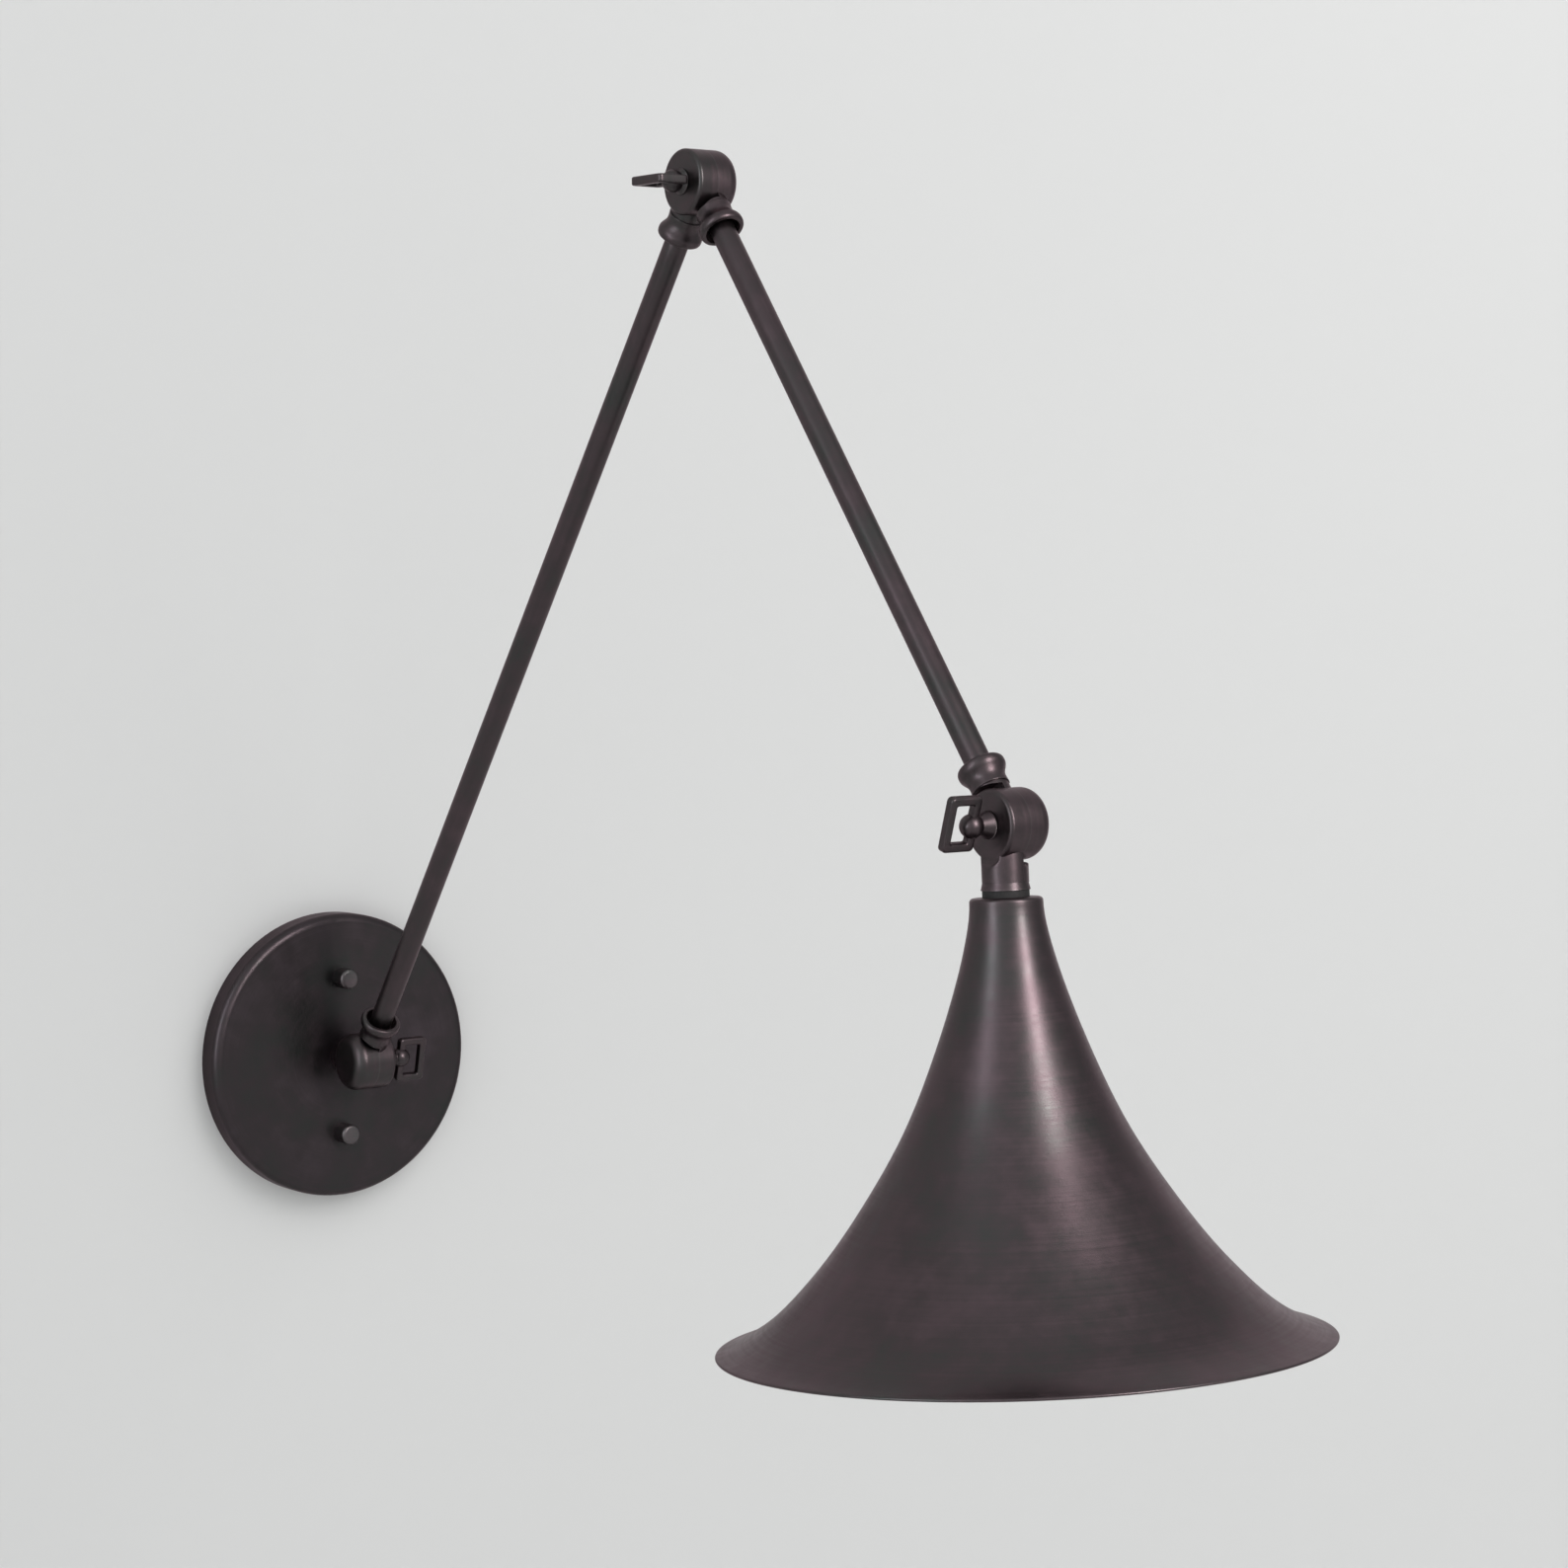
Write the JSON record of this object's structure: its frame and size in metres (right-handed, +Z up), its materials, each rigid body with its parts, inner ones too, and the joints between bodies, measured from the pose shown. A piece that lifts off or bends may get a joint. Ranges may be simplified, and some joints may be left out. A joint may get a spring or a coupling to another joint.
{
  "type": "swivel wall sconce",
  "caption": "Wall sconce with a trumpet shade on a two-piece arm that folds and tilts on wing-key swivels.",
  "frame": {"origin": "middle of the strap's screw pattern, on the wall plane behind the canopy's centre", "axes": "+Z up the wall, -Y out of the wall into the room, +X to the right for someone facing the wall"},
  "size_m": [0.2128, 0.5947, 0.4406],
  "materials": {
    "dark_bronze": "satin",
    "black_fibre": "matte",
    "zinc_steel": "satin",
    "green_steel": "satin",
    "black_moulding": "satin",
    "bare_brass": "satin"
  },
  "bodies": {
    "wall_mount": {"mounting_strap": "zinc_steel", "plate_studs": "zinc_steel", "ground_screw": "green_steel", "back_plate": "dark_bronze", "cap_nuts": "dark_bronze"},
    "swivel": {"center_nipple": "zinc_steel", "swivel_washer": "zinc_steel", "nipple_lock_nut": "zinc_steel", "base_knuckle_wall_half": "dark_bronze", "base_friction_washer": "black_fibre"},
    "lower_arm": {"base_knuckle_arm_half": "dark_bronze", "lower_tube": "dark_bronze", "elbow_lower_half": "dark_bronze"},
    "upper_arm": {"elbow_upper_half": "dark_bronze", "upper_tube": "dark_bronze", "shade_knuckle_arm_half": "dark_bronze", "elbow_friction_washer": "black_fibre", "shade_friction_washer": "black_fibre"},
    "shade_head": {"shade_knuckle_shade_half": "dark_bronze", "neck_washer": "black_fibre", "shade": "dark_bronze", "shade_nipple": "zinc_steel", "shade_inner_washer": "zinc_steel", "shade_lock_nut": "zinc_steel", "socket_cap": "dark_bronze", "socket_body": "black_moulding", "socket_insulator": "black_moulding", "socket_screw_shell": "bare_brass", "socket_contact": "bare_brass"},
    "base_key": {"base_wing_key": "dark_bronze"},
    "elbow_key": {"elbow_wing_key": "dark_bronze"},
    "shade_key": {"shade_wing_key": "dark_bronze"}
  },
  "joints": [
    {"name": "arm_swivel", "type": "hinge", "parent": "wall_mount", "child": "swivel", "pos_m": [0, -0.012, 0], "axis": [0, -1, 0], "range_deg": [-75, 75]},
    {"name": "arm_pitch", "type": "hinge", "parent": "swivel", "child": "lower_arm", "pos_m": [0, -0.033, 0], "axis": [1, 0, 0], "range_deg": [-30, 84]},
    {"name": "elbow", "type": "hinge", "parent": "lower_arm", "child": "upper_arm", "pos_m": [0, -0.29372, 0.36457], "axis": [-1, 0, 0], "range_deg": [-17, 106]},
    {"name": "shade_tilt", "type": "hinge", "parent": "upper_arm", "child": "shade_head", "pos_m": [0, -0.47595, 0.13258], "axis": [-1, 0, 0], "range_deg": [-86, 154]},
    {"name": "base_key_turn", "type": "hinge", "parent": "swivel", "child": "base_key", "pos_m": [0, -0.033, 0], "axis": [1, 0, 0], "range_deg": [-90, 180]},
    {"name": "elbow_key_turn", "type": "hinge", "parent": "upper_arm", "child": "elbow_key", "pos_m": [0, -0.29372, 0.36457], "axis": [-1, 0, 0], "range_deg": [-90, 180]},
    {"name": "shade_key_turn", "type": "hinge", "parent": "upper_arm", "child": "shade_key", "pos_m": [0, -0.47595, 0.13258], "axis": [-1, 0, 0], "range_deg": [-90, 180]}
  ]
}
